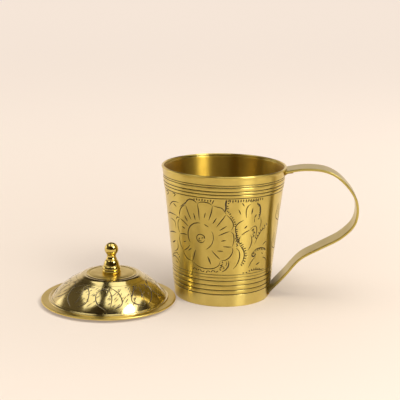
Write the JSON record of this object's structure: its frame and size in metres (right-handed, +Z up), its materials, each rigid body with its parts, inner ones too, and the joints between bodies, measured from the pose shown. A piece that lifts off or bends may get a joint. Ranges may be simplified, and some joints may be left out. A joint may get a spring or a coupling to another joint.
{
  "type": "lidded brass mug",
  "caption": "Tapered brass mug with a bent strap handle, engraved turned wall and a loose domed lid with a ball knob, lying beside it.",
  "frame": {"origin": "centre of the mug's flat underside, on the table", "axes": "+Z up along the mug's axis, +X from the mug's axis toward its handle; the lid lies toward -X"},
  "size_m": [0.2111, 0.1142, 0.0904],
  "materials": {
    "turned_brass": "turned and polished, engraved on the wall and the dome",
    "strip_brass": "rolled strip, hand polished",
    "solder": "hard-soldered fillet, filed back",
    "cast_brass": "cast, turned and polished"
  },
  "bodies": {
    "mug": {"cup_wall": "turned_brass", "cup_base": "turned_brass", "base_solder": "solder", "handle_strap": "strip_brass", "handle_top_solder": "solder", "handle_foot_solder": "solder"},
    "lid": {"lid_dome": "turned_brass", "lid_spigot_ring": "turned_brass", "lid_spigot_solder": "solder", "knob": "cast_brass", "knob_washer": "strip_brass", "knob_screw": "strip_brass"}
  },
  "joints": [
    {"name": "lid_lift", "type": "slide", "parent": "mug", "child": "lid", "axis": [-0.1957, -0.0701, 0.9781], "range_m": [0, 0.12]}
  ]
}
